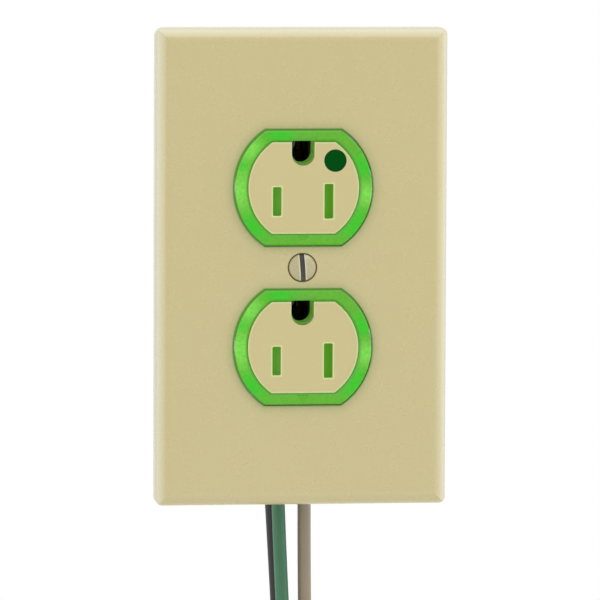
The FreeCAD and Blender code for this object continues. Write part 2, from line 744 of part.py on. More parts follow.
for colour, points in (("black", BLACK), ("green", GREEN), ("white", WHITE)):
    sleeve, copper, length, radii = lead(points)
    NODES["lead_" + colour] = sleeve
    NODES["copper_" + colour] = copper
    section = math.pi * LEAD_R**2
    print("lead", colour, "length", round(length, 2),
          "volume over section x length", round(sleeve.Volume / (section * length), 4),
          "arc radii", [round(r, 1) for r in radii])

for name, shape in NODES.items():
    save(name, shape)
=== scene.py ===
import math

import bmesh
import bpy
from mathutils import Matrix, Vector


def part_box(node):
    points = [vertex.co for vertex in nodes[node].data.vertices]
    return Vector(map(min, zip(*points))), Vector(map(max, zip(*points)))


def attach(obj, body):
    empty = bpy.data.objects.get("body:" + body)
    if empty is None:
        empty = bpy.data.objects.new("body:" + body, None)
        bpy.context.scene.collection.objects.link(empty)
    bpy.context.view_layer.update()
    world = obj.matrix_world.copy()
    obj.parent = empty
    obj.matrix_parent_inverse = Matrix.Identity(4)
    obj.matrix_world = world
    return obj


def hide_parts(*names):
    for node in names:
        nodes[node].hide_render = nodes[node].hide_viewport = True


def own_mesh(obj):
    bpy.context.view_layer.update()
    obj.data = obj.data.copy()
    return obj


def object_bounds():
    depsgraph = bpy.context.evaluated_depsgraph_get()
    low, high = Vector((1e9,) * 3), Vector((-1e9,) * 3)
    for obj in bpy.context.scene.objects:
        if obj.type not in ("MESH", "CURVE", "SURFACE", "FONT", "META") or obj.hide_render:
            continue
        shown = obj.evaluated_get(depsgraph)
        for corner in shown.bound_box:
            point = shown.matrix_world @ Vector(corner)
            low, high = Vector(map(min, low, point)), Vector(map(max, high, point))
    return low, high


# Lighted duplex wall outlet with cover plate, strap and plug-in lead module.
# Metres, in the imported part's own frame: +X right, +Y into the wall, +Z up.
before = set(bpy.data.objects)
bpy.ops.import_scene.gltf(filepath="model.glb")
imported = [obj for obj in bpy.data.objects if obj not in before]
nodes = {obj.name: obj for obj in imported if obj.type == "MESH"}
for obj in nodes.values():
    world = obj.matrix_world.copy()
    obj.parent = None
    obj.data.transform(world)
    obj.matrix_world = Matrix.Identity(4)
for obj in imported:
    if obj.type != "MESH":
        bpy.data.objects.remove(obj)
cad_low, cad_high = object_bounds()
MM = 0.001
OUTLET_Z = 19.05 * MM


# ---- small helpers ----
def linear(code):
    """sRGB hex to the linear colour that a shader takes."""
    parts = [int(code[i : i + 2], 16) / 255 for i in (1, 3, 5)]
    return [p / 12.92 if p <= 0.04045 else ((p + 0.055) / 1.055) ** 2.4 for p in parts] + [1.0]


def node(tree, kind, links=None, **settings):
    """Add one node; links gives an input, by name or number, a socket or a value."""
    made = tree.nodes.new(kind)
    for key, value in settings.items():
        setattr(made, key, value)
    for key, value in (links or {}).items():
        if isinstance(value, bpy.types.NodeSocket):
            tree.links.new(value, made.inputs[key])
        else:
            made.inputs[key].default_value = value
    return made


def blank(name, **sockets):
    """A material with one Principled shader, its constant values set on its own sockets."""
    made = bpy.data.materials.new(name)
    made.use_nodes = True
    tree = made.node_tree
    shader = tree.nodes["Principled BSDF"]
    for key, value in sockets.items():
        shader.inputs[key.replace("_", " ")].default_value = value
    return made, tree, shader


def spot(tree, source, scale_mm, detail=3.0, rough=0.5, squash=(1, 1, 1)):
    """Noise whose blobs are about scale_mm across, stretched by squash."""
    moved = node(tree, "ShaderNodeMapping", {"Vector": source, "Scale": squash})
    return node(
        tree,
        "ShaderNodeTexNoise",
        {
            "Vector": moved.outputs[0],
            "Scale": 1 / (scale_mm * MM),
            "Detail": detail,
            "Roughness": rough,
        },
    ).outputs["Fac"]


def surface(
    name, colours, rough, patch_mm=20.0, grain_mm=0.3, grain_depth_mm=0.004,
    rough_swing=0.06, stretch=(1, 1, 1), **sockets
):
    """A solid material: two close colours in soft patches, uneven gloss and a fine grain."""
    made, tree, shader = blank(name, **sockets)
    place = node(tree, "ShaderNodeTexCoord").outputs["Object"]
    patch = spot(tree, place, patch_mm, 4.0, 0.55)
    tint = node(
        tree,
        "ShaderNodeMix",
        {0: patch, 6: linear(colours[0]), 7: linear(colours[1])},
        data_type="RGBA",
    )
    tree.links.new(tint.outputs[2], shader.inputs["Base Color"])
    wear = spot(tree, place, patch_mm / 5, 5.0, 0.6, stretch)
    gloss = node(
        tree,
        "ShaderNodeMapRange",
        {"Value": wear, 1: 0.3, 2: 0.7, 3: rough - rough_swing, 4: rough + rough_swing},
    )
    tree.links.new(gloss.outputs[0], shader.inputs["Roughness"])
    grain = spot(tree, place, grain_mm, 2.0, 0.5, stretch)
    bump = node(
        tree,
        "ShaderNodeBump",
        {"Height": grain, "Distance": grain_depth_mm * MM, "Strength": 1.0},
    )
    tree.links.new(bump.outputs[0], shader.inputs["Normal"])
    return made


# ---- materials, each named for what the real one is ----
# nylon 6/6, injection moulded in a finely spark-eroded tool: even, satin, a hint of softness
ivory_nylon = surface(
    "moulded_ivory_nylon", ("#9F9364", "#A19668"), 0.26, 30, 0.35, 0.0012, IOR=1.53,
    Specular_IOR_Level=0.95,
)
# pad-printed ink: flat and dark
dot_ink = surface(
    "pad_printed_green_ink", ("#00380A", "#003E0D"), 0.6, 2, 0.15, 0.001, Specular_IOR_Level=0.02
)
# glass-filled thermoset: dull black with a faint mottled skin
black_thermoset = surface(
    "black_glass_filled_polyester", ("#17181A", "#1F2022"), 0.55, 8, 0.4, 0.01, IOR=1.56
)
white_nylon = surface("natural_nylon", ("#D9D7CC", "#E1DFD6"), 0.5, 8, 0.3, 0.003, IOR=1.53)
# zinc plate with a clear chromate over rolled steel: soft streaks along the strip
zinc_steel = surface(
    "zinc_plated_rolled_steel", ("#999DA2", "#B1B4B7"), 0.36, 6, 0.15, 0.002, 0.09,
    (1, 1, 0.2), Metallic=1.0,
)
wire_steel = surface(
    "drawn_spring_wire", ("#A8A8A8", "#C8C8C6"), 0.28, 1.0, 0.05, 0.001, Metallic=1.0
)
stamped_brass = surface(
    "stamped_brass_strip", ("#B48B3E", "#CDA75A"), 0.33, 5, 0.12, 0.002, 0.08,
    (1, 1, 0.25), Metallic=1.0,
)
# phosphor bronze coloured brown-black and dull: painted shade, so the contacts deep in the earth
# holes read dark
shade_dark_bronze = surface(
    "bronze_painted_dark_as_hole_shade", ("#2A211A", "#3A2E24"), 0.5, 3, 0.15, 0.003, 0.08, Metallic=1.0
)
tinned_brass = surface(
    "tin_plated_brass", ("#B5B3AB", "#CBC8BE"), 0.38, 4, 0.12, 0.002, 0.08,
    (1, 1, 0.25), Metallic=1.0,
)
board_laminate = surface("glass_epoxy_board", ("#1E5A2C", "#256B36"), 0.4, 3, 0.2, 0.002, IOR=1.55)
resistor_lacquer = surface("resistor_lacquer", ("#8FA7B8", "#A0B5C4"), 0.3, 2, 0.2, 0.002, IOR=1.5)
diode_epoxy = surface("moulded_epoxy", ("#141414", "#1D1D1D"), 0.45, 2, 0.15, 0.003, IOR=1.55)
module_nylon = surface(
    "charcoal_moulded_nylon", ("#232427", "#2B2C30"), 0.48, 9, 0.3, 0.006, IOR=1.53
)
latch_acetal = surface("orange_acetal", ("#C9651B", "#D37326"), 0.35, 6, 0.3, 0.003, IOR=1.48)


def extruded_vinyl(name, colours, rough):
    """PVC/nylon building wire: drawn sheen, fine lines along its length, faint print-free skin."""
    return surface(
        name, colours, rough, 12, 0.35, 0.004, 0.05, (1, 1, 0.06), IOR=1.52, Specular_IOR_Level=0.35
    )


black_vinyl = extruded_vinyl("black_nylon_jacket", ("#0A0A0A", "#101010"), 0.4)
green_vinyl = extruded_vinyl("green_nylon_jacket", ("#27573A", "#336646"), 0.4)
grey_vinyl = extruded_vinyl("warm_grey_nylon_jacket", ("#776D5A", "#827865"), 0.42)
bare_copper = surface(
    "bare_copper_strand", ("#B8683C", "#D08455"), 0.3, 2, 0.1, 0.002, 0.08, Metallic=1.0
)


def near(tree, place, x, z, reach):
    """1 at a point on the face, fading to 0 at this reach in millimetres."""
    gap = node(
        tree, "ShaderNodeVectorMath", {0: place, 1: (x * MM, 0, z * MM)}, operation="DISTANCE"
    )
    return node(
        tree,
        "ShaderNodeMapRange",
        {"Value": gap.outputs["Value"], 1: 0.0, 2: reach * MM, 3: 1.0, 4: 0.0},
        interpolation_type="SMOOTHSTEP",
    ).outputs[0]


def together(tree, parts):
    """The sum of several masks."""
    total = parts[0]
    for part in parts[1:]:
        total = node(
            tree, "ShaderNodeMath", {0: total, 1: part}, operation="ADD", use_clamp=True
        ).outputs[0]
    return total


def layered(tree, colour, *layers):
    """A colour with tints laid over it in turn: each layer is a mask and its tint."""
    for mask, tint in layers:
        colour = node(
            tree, "ShaderNodeMix", {0: mask, 6: colour, 7: tint}, data_type="RGBA"
        ).outputs[2]
    return colour


def outlet_place(tree):
    """Object place, the place measured from the nearer outlet's centre, and the depth."""
    place = node(tree, "ShaderNodeTexCoord").outputs["Object"]
    axes = node(tree, "ShaderNodeSeparateXYZ", {0: place})
    side = node(tree, "ShaderNodeMath", {0: axes.outputs[2]}, operation="SIGN")
    rise = node(
        tree, "ShaderNodeMath",
        {0: side.outputs[0], 1: -OUTLET_Z, 2: axes.outputs[2]}, operation="MULTIPLY_ADD",
    )
    local = node(tree, "ShaderNodeCombineXYZ", {0: axes.outputs[0], 2: rise.outputs[0]})
    return place, local.outputs[0], axes.outputs[1]


def masks_by(tree, distance, *spans):
    """Masks by one distance: each span is its two sizes in mm and the mask's value at each."""
    return [
        node(
            tree,
            "ShaderNodeMapRange",
            {"Value": distance, 1: start_mm * MM, 2: end_mm * MM, 3: first, 4: last},
            interpolation_type="SMOOTHSTEP",
        ).outputs[0]
        for start_mm, end_mm, first, last in spans
    ]


def round_box_gap(tree, local, x, z, half_x, half_z):
    """How far a point lies outside an upright box on the face."""
    moved = node(
        tree, "ShaderNodeVectorMath", {0: local, 1: (x * MM, 0, z * MM)}, operation="SUBTRACT"
    )
    folded = node(tree, "ShaderNodeVectorMath", {0: moved.outputs[0]}, operation="ABSOLUTE")
    beyond = node(
        tree,
        "ShaderNodeVectorMath",
        {0: folded.outputs[0], 1: (half_x * MM, 1.0, half_z * MM)},
        operation="SUBTRACT",
    )
    outside = node(
        tree, "ShaderNodeVectorMath", {0: beyond.outputs[0], 1: (0, 0, 0)}, operation="MAXIMUM"
    )
    return node(
        tree, "ShaderNodeVectorMath", {0: outside.outputs[0]}, operation="LENGTH"
    ).outputs["Value"]


def past_outline(tree, local, outline):
    """How far a point lies outside a circle with two flats: its radius and flat, in mm."""
    round_at, flat_at = outline
    local = node(
        tree, "ShaderNodeVectorMath", {0: local, 1: (FACE_SHIFT * MM, 0, 0)}, operation="SUBTRACT"
    ).outputs[0]
    axes = node(tree, "ShaderNodeSeparateXYZ", {0: local})
    radius = node(tree, "ShaderNodeVectorMath", {0: local}, operation="LENGTH").outputs["Value"]
    past_round = node(
        tree, "ShaderNodeMath", {0: radius, 1: round_at * MM}, operation="SUBTRACT"
    ).outputs[0]
    height = node(tree, "ShaderNodeMath", {0: axes.outputs[2]}, operation="ABSOLUTE").outputs[0]
    past_flat = node(
        tree, "ShaderNodeMath", {0: height, 1: flat_at * MM}, operation="SUBTRACT"
    ).outputs[0]
    return node(
        tree, "ShaderNodeMath", {0: past_round, 1: past_flat}, operation="MAXIMUM"
    ).outputs[0]


FACE_OUTLINE, RING_OUTLINE, FACE_SHIFT = (13.3, 10.95), (16.35, 13.6), 0.15
# the openings of one face: centre x, z and half sizes, in mm, with the earth hole last
FACE_OPENINGS = (
    (-6.2, -3.2, 1.02, 3.45), (6.2, -3.2, 1.08, 4.15), (0.0, 9.6, 2.6, 1.6),
)


def lit_through_nylon():
    """Satin moulded nylon; the lamps' light through its thin edges beside its openings is painted
    in, as a paler colour and a glow.
    """
    made = surface(
        "textured_ivory_nylon_face", ("#A3986A", "#A79C6F"), 0.42, 14, 0.25, 0.003, IOR=1.53
    )
    tree = made.node_tree
    shader = tree.nodes["Principled BSDF"]
    plain = shader.inputs["Base Color"].links[0].from_socket
    local = outlet_place(tree)[1]
    painted_glow_rims = []
    for opening in FACE_OPENINGS:
        painted_glow_rims += masks_by(tree, round_box_gap(tree, local, *opening), (0.12, 0.5, 1.0, 0.0))
    painted_glow_rims += masks_by(tree, past_outline(tree, local, FACE_OUTLINE), (-0.6, -0.15, 0.0, 0.9))
    painted_glow_rims = together(tree, painted_glow_rims)
    tree.links.new(
        layered(tree, plain, (painted_glow_rims, linear("#A6AC78"))), shader.inputs["Base Color"]
    )
    glow = layered(tree, (0, 0, 0, 1), (painted_glow_rims, linear("#2F3D1E")))
    tree.links.new(glow, shader.inputs["Emission Color"])
    shader.inputs["Emission Strength"].default_value = 1.0
    return made


# where the ring glows brighter and where it is paler: x, z and reach, in mm. These are listed here
# and aren't worked out from the four lamp pieces, which sit on the board between the outlets
GLOW_POOLS = (
    (-12.8, -9.5, 7.0), (13.0, -9.0, 7.0), (-14.6, 5.4, 2.6), (14.4, 5.2, 5.0), (-5.5, 12.6, 6.0),
)
PALE_ZONES = ((-15.4, -0.5, 8.0), (15.6, -1.6, 5.0), (-12.8, 9.4, 5.0))


def lit_polycarbonate():
    """Green translucent polycarbonate lit from inside, with brighter pools and paler zones."""
    made, tree, shader = blank(
        "lit_green_polycarbonate", Roughness=0.2, IOR=1.585, Specular_IOR_Level=0.3,
        Emission_Strength=1.0,
    )
    place, local, depth = outlet_place(tree)
    pools = together(tree, [near(tree, local, *p) for p in GLOW_POOLS])
    pale = together(tree, [near(tree, local, *p) for p in PALE_ZONES])
    cloud = spot(tree, place, 3.5, 3.0)
    streaks = spot(tree, place, 0.9, 4.0, 0.65)
    streak = node(
        tree, "ShaderNodeMapRange", {"Value": streaks, 1: 0.42, 2: 0.62, 3: 0.0, 4: 0.3}
    ).outputs[0]
    [inner] = masks_by(tree, past_outline(tree, local, FACE_OUTLINE), (0.25, 0.8, 0.75, 0.0))
    [inside] = masks_by(tree, depth, (-7.0, -6.3, 0.0, 1.0))
    # painted light: the ring's glow, with its brighter pools and paler zones, is painted into its
    # colour and emission; its inner edge and its wall below the front edge are painted darker, as
    # painted shade
    body = layered(
        tree, linear("#38760F"),
        (cloud, linear("#437E18")), (pools, linear("#1A7E06")), (pale, linear("#559633")),
        (streak, linear("#2B6A0C")), (inner, linear("#2C6A14")), (inside, linear("#1B3C08")),
    )
    tree.links.new(body, shader.inputs["Base Color"])
    # the thick inner edge passes less light than the face of the ring, and the wall below the
    # front edge is seen against the dark inside and glows less
    glow = layered(
        tree, linear("#306508"),
        (cloud, linear("#3A7310")), (pools, linear("#128A00")), (pale, linear("#468C20")),
        (streak, linear("#255A06")), (inner, linear("#235606")), (inside, linear("#4B7A24")),
    )
    tree.links.new(glow, shader.inputs["Emission Color"])
    return made


lit_ring = lit_polycarbonate()
ivory_face = lit_through_nylon()
# painted light: the shutters glow by an emission that stands for the lamps' light through them
lit_shutter = surface(
    "translucent_green_acetal_painted_glow", ("#4A7A22", "#55882A"), 0.45, 4, 0.2, 0.002, IOR=1.48,
    Emission_Color=linear("#457F16"), Emission_Strength=0.78,
)


# painted shade: the dark colour laid in the gap round the plate screw's head
COUNTERSINK_SHADE = "#4F4419"
SLOT_TILT = 4.0


def from_screw_axis(tree, place):
    """How far a point lies from the plate screw's axis."""
    flat = node(tree, "ShaderNodeVectorMath", {0: place, 1: (1, 0, 1)}, operation="MULTIPLY")
    return node(
        tree, "ShaderNodeVectorMath", {0: flat.outputs[0]}, operation="LENGTH"
    ).outputs["Value"]


def painted_shade_and_light(made):
    """Painted shade in the gap round the screw head, a painted highlight on the rim's sides and
    top, and painted green light from the rings.
    """
    tree = made.node_tree
    shader = tree.nodes["Principled BSDF"]
    plain = shader.inputs["Base Color"].links[0].from_socket
    place = node(tree, "ShaderNodeTexCoord").outputs["Object"]
    # painted shade: a dark ring on the plate round the screw head, where the countersink gap lies
    # in shade
    [gap] = masks_by(tree, from_screw_axis(tree, place), (3.42, 3.68, 1.0, 0.0))
    # painted highlight: the rim of the plate is painted paler along its sides and its top
    local = outlet_place(tree)[1]
    folded = node(tree, "ShaderNodeVectorMath", {0: place}, operation="ABSOLUTE")
    aside = node(tree, "ShaderNodeSeparateXYZ", {0: folded.outputs[0]}).outputs[0]
    rise = node(tree, "ShaderNodeSeparateXYZ", {0: place}).outputs[2]
    [side_rim_highlight] = masks_by(tree, aside, (32.6, 35.05, 0.0, 0.9))
    [top_rim_highlight] = masks_by(tree, rise, (54.6, 57.1, 0.0, 0.9))
    rim = node(tree, "ShaderNodeMath", {0: side_rim_highlight, 1: top_rim_highlight}, operation="MAXIMUM").outputs[0]
    # painted light: green light from the rings spills over the edges of the two openings, with a
    # darker green line painted at their edge, in the gap round each ring
    spill, lip = masks_by(
        tree, past_outline(tree, local, RING_OUTLINE), (0.4, 3.0, 0.4, 0.0), (0.45, 0.7, 0.85, 0.0)
    )
    colour = layered(
        tree, plain,
        (gap, linear(COUNTERSINK_SHADE)), (rim, linear("#ABA892")), (spill, linear("#7F8A48")),
        (lip, linear("#446A24")),
    )
    tree.links.new(colour, shader.inputs["Base Color"])


painted_shade_and_light(ivory_nylon)


def slotted_enamel():
    """Baked enamel over steel, rubbed through to bare metal inside the driver slot, with a painted
    highlight along the slot's edges and painted shade round the head's edge.
    """
    made = surface(
        "baked_ivory_enamel", ("#948B67", "#9A9371"), 0.3, 3, 0.2, 0.003, IOR=1.52
    )
    tree = made.node_tree
    shader = tree.nodes["Principled BSDF"]
    plain = shader.inputs["Base Color"].links[0].from_socket
    place = node(tree, "ShaderNodeTexCoord").outputs["Object"]
    turned = node(
        tree, "ShaderNodeMapping", {"Vector": place, "Rotation": (0, math.radians(SLOT_TILT), 0)}
    )
    axes = node(tree, "ShaderNodeSeparateXYZ", {0: turned.outputs[0]})
    aside = node(tree, "ShaderNodeMath", {0: axes.outputs[0]}, operation="ABSOLUTE").outputs[0]
    scuff = spot(tree, place, 0.5, 4.0, 0.6)
    steel = layered(tree, linear("#2B2A26"), (scuff, linear("#5F5D57")))
    # painted highlight: a paler band of enamel along each edge of the slot
    rim, inside, bare = masks_by(
        tree, aside, (0.62, 1.0, 1.0, 0.0), (0.585, 0.6, 1.0, 0.0), (0.58, 0.595, 0.9, 0.0)
    )
    # painted shade: a dark ring round the head's edge, in the countersink gap
    [head_edge_shade] = masks_by(tree, from_screw_axis(tree, place), (3.02, 3.26, 0.0, 1.0))
    wear_and_painted_light = layered(
        tree, plain, (rim, linear("#B5B09A")), (head_edge_shade, linear(COUNTERSINK_SHADE)), (inside, steel)
    )
    tree.links.new(wear_and_painted_light, shader.inputs["Base Color"])
    tree.links.new(bare, shader.inputs["Metallic"])
    return made


ivory_enamel = slotted_enamel()

FINISH = {
    "wall_plate": ivory_nylon,
    "plate_screw": ivory_enamel,
    "lens_cover": lit_ring,
    "face_insert_upper": ivory_face,
    "face_insert_lower": ivory_face,
    "grade_dot": dot_ink,
    "shutter_hot_upper": lit_shutter,
    "shutter_neutral_upper": lit_shutter,
    "shutter_hot_lower": lit_shutter,
    "shutter_neutral_lower": lit_shutter,
    "shutter_spring_upper": wire_steel,
    "shutter_spring_lower": wire_steel,
    "shutter_deck_upper": white_nylon,
    "shutter_deck_lower": white_nylon,
    "back_body": black_thermoset,
    "screw_bushing": stamped_brass,
    "body_rivets": zinc_steel,
    "mounting_strap": zinc_steel,
    "ground_contact_upper": shade_dark_bronze,
    "ground_contact_lower": shade_dark_bronze,
    "ground_blade": tinned_brass,
    "ground_rivets": tinned_brass,
    "box_screws": zinc_steel,
    "hot_bus": stamped_brass,
    "neutral_bus": tinned_brass,
    "led_board": board_laminate,
    "leds": white_nylon,
    "dropping_resistor": resistor_lacquer,
    "board_diode": diode_epoxy,
    "board_springs": wire_steel,
    "module_housing": module_nylon,
    "module_cover": module_nylon,
    "module_contact_hot": tinned_brass,
    "module_contact_ground": tinned_brass,
    "module_contact_neutral": tinned_brass,
    "module_latch": latch_acetal,
    "module_latch_pin": zinc_steel,
    "latch_spring": wire_steel,
    "copper_black": bare_copper,
    "copper_green": bare_copper,
    "copper_white": bare_copper,
}
for name, finish in FINISH.items():
    for slot in nodes[name].material_slots:
        slot.material = finish


LEAD_DIAMETER, LEAD_LENGTH = 3.3 * MM, 145.7 * MM
LEADS = {
    "black": (
        black_vinyl,
        [(-6, 33, -8.5), (-6, 33, -24), (-3.4, 34.7, -45), (-1.95, 35.2, -68),
         (-0.4, 35.1, -95), (-0.9, 34.6, -125), (-1.6, 34.2, -154)],
    ),
    "green": (
        green_vinyl,
        [(0, 33, -8.5), (0, 33, -24), (-1.7, 31.6, -45), (-0.95, 31.3, -68),
         (0.4, 31.4, -95), (1.9, 31.9, -125), (2.3, 32.6, -154)],
    ),
    "white": (
        grey_vinyl,
        [(6, 33, -8.5), (6, 33, -24), (5.5, 33.3, -45), (5.4, 33.0, -68),
         (5.7, 32.7, -95), (6.7, 33.1, -125), (7.2, 33.6, -154)],
    ),
}


# ---- pieces grown from a rule: springs, threads and strands ----
def new_tree(name, inputs):
    """A geometry tree with these named inputs and one geometry output."""
    tree = bpy.data.node_groups.new(name, "GeometryNodeTree")
    for label, kind in inputs:
        tree.interface.new_socket(label, in_out="INPUT", socket_type="NodeSocket" + kind)
    tree.interface.new_socket("Geometry", in_out="OUTPUT", socket_type="NodeSocketGeometry")
    return tree, tree.nodes.new("NodeGroupInput").outputs


def end_tree(tree, shape, material):
    """Smooth, real and with its material: the end of every tree here."""
    smooth = node(tree, "GeometryNodeSetShadeSmooth", {"Geometry": shape})
    real = node(tree, "GeometryNodeRealizeInstances", {"Geometry": smooth.outputs[0]})
    painted = node(
        tree, "GeometryNodeSetMaterial", {"Geometry": real.outputs[0], "Material": material}
    )
    node(tree, "NodeGroupOutput", {"Geometry": painted.outputs[0]})


def grown(tree, values, place):
    """The plain mesh that a tree makes with these values, moved to its place."""
    carrier = bpy.data.objects.new("carrier", bpy.data.meshes.new("carrier"))
    bpy.context.scene.collection.objects.link(carrier)
    grow = carrier.modifiers.new("grow", "NODES")
    grow.node_group = tree
    for item in tree.interface.items_tree:
        if item.in_out == "INPUT":
            grow[item.identifier] = values[item.name]
    ready = carrier.evaluated_get(bpy.context.evaluated_depsgraph_get())
    mesh = bpy.data.meshes.new_from_object(ready)
    carrier.modifiers.remove(grow)
    bpy.data.objects.remove(carrier)
    mesh.transform(place)
    return mesh


def piece_from(name, meshes, body, slot, *replaced):
    """One finished piece from several meshes, riding on a body in a CAD node's stead."""
    whole = bmesh.new()
    for mesh in meshes:
        whole.from_mesh(mesh)
    made = bpy.data.meshes.new(name)
    whole.to_mesh(made)
    whole.free()
    made.materials.append(meshes[0].materials[0])
    piece = bpy.data.objects.new(name, made)
    bpy.context.scene.collection.objects.link(piece)
    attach(piece, body)
    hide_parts(*replaced)
    return piece


def polar(tree, radius, angle, rise):
    """A point from its distance to the axis, its angle and its height."""
    across = node(tree, "ShaderNodeMath", {0: angle}, operation="COSINE").outputs[0]
    along = node(tree, "ShaderNodeMath", {0: angle}, operation="SINE").outputs[0]
    x = node(tree, "ShaderNodeMath", {0: across, 1: radius}, operation="MULTIPLY").outputs[0]
    y = node(tree, "ShaderNodeMath", {0: along, 1: radius}, operation="MULTIPLY").outputs[0]
    return node(tree, "ShaderNodeCombineXYZ", {0: x, 1: y, 2: rise}).outputs[0]


def spring_tree():
    """A round-wire compression spring on Z whose end turns close up."""
    tree, given = new_tree(
        "compression_spring",
        [("Coil Radius", "Float"), ("Wire Radius", "Float"), ("Length", "Float"),
         ("Turns", "Float"), ("Steps", "Int"), ("Material", "Material")],
    )
    line = node(
        tree, "GeometryNodeCurvePrimitiveLine", {"Start": (0, 0, 0), "End": (0, 0, 1)}
    )
    fine = node(
        tree, "GeometryNodeResampleCurve", {"Curve": line.outputs[0], "Count": given["Steps"]}
    )
    place = node(tree, "GeometryNodeInputPosition")
    share = node(tree, "ShaderNodeSeparateXYZ", {0: place.outputs[0]}).outputs[2]
    turns = node(
        tree, "ShaderNodeMath", {0: share, 1: given["Turns"]}, operation="MULTIPLY"
    ).outputs[0]
    angle = node(
        tree, "ShaderNodeMath", {0: turns, 1: math.tau}, operation="MULTIPLY"
    ).outputs[0]
    # the pitch is a quarter of its mean at each end, and widest in the middle
    sway = node(
        tree, "ShaderNodeMath", {0: share, 1: math.tau}, operation="MULTIPLY"
    ).outputs[0]
    sway = node(tree, "ShaderNodeMath", {0: sway}, operation="SINE").outputs[0]
    sway = node(
        tree, "ShaderNodeMath", {0: sway, 1: -0.75 / math.tau}, operation="MULTIPLY"
    ).outputs[0]
    share = node(tree, "ShaderNodeMath", {0: share, 1: sway}, operation="ADD").outputs[0]
    rise = node(
        tree, "ShaderNodeMath", {0: share, 1: given["Length"]}, operation="MULTIPLY"
    ).outputs[0]
    wound = node(
        tree,
        "GeometryNodeSetPosition",
        {"Geometry": fine.outputs[0], "Position": polar(tree, given["Coil Radius"], angle, rise)},
    )
    ring = node(
        tree, "GeometryNodeCurvePrimitiveCircle", {"Resolution": 8, "Radius": given["Wire Radius"]}
    )
    wire = node(
        tree,
        "GeometryNodeCurveToMesh",
        {"Curve": wound.outputs[0], "Profile Curve": ring.outputs[0], "Fill Caps": True},
    )
    end_tree(tree, wire.outputs[0], given["Material"])
    return tree


THREAD_ROWS, THREAD_SIDES = 244, 28


def thread_tree():
    """A rolled screw thread on Z, chamfered and closed at both ends."""
    tree, given = new_tree(
        "rolled_thread",
        [("Crest Radius", "Float"), ("Root Radius", "Float"), ("End Radius", "Float"),
         ("Pitch", "Float"), ("Length", "Float"), ("Material", "Material")],
    )
    grid = node(
        tree,
        "GeometryNodeMeshGrid",
        {"Size X": 1, "Size Y": 1, "Vertices X": THREAD_SIDES + 1, "Vertices Y": THREAD_ROWS},
    )
    place = node(tree, "GeometryNodeInputPosition")
    axes = node(tree, "ShaderNodeSeparateXYZ", {0: place.outputs[0]})
    round_share = axes.outputs[0]
    gap = 1 / (THREAD_ROWS - 1)
    # the first and last rows close the ends, so the thread lies between the next ones
    rise = node(
        tree,
        "ShaderNodeMapRange",
        {"Value": axes.outputs[1], 1: gap - 0.5, 2: 0.5 - gap, 3: 0.0, 4: given["Length"]},
    ).outputs[0]
    lead_in = node(
        tree, "ShaderNodeMath", {0: rise, 1: given["Pitch"]}, operation="DIVIDE"
    ).outputs[0]
    wound = node(
        tree, "ShaderNodeMath", {0: lead_in, 1: round_share}, operation="SUBTRACT"
    ).outputs[0]
    wave = node(tree, "ShaderNodeMath", {0: wound, 1: 0.5}, operation="PINGPONG").outputs[0]
    thread = node(
        tree,
        "ShaderNodeMapRange",
        {"Value": wave, 1: 0.07, 2: 0.43, 3: given["Root Radius"], 4: given["Crest Radius"]},
    ).outputs[0]
    rest = node(
        tree, "ShaderNodeMath", {0: given["Length"], 1: rise}, operation="SUBTRACT"
    ).outputs[0]
    nearest = node(tree, "ShaderNodeMath", {0: rise, 1: rest}, operation="MINIMUM").outputs[0]
    chamfer = node(
        tree, "ShaderNodeMath", {0: nearest, 1: given["End Radius"]}, operation="ADD"
    ).outputs[0]
    radius = node(
        tree, "ShaderNodeMath", {0: thread, 1: chamfer}, operation="MINIMUM"
    ).outputs[0]
    middle = node(tree, "ShaderNodeMath", {0: axes.outputs[1]}, operation="ABSOLUTE").outputs[0]
    open_part = node(
        tree, "ShaderNodeMath", {0: middle, 1: 0.5 - gap / 2}, operation="LESS_THAN"
    ).outputs[0]
    radius = node(
        tree, "ShaderNodeMath", {0: radius, 1: open_part}, operation="MULTIPLY"
    ).outputs[0]
    angle = node(
        tree, "ShaderNodeMath", {0: round_share, 1: math.tau}, operation="MULTIPLY"
    ).outputs[0]
    rolled = node(
        tree,
        "GeometryNodeSetPosition",
        {"Geometry": grid.outputs[0], "Position": polar(tree, radius, angle, rise)},
    )
    closed = node(
        tree, "GeometryNodeMergeByDistance", {"Geometry": rolled.outputs[0], "Distance": 1e-6}
    )
    end_tree(tree, closed.outputs[0], given["Material"])
    return tree


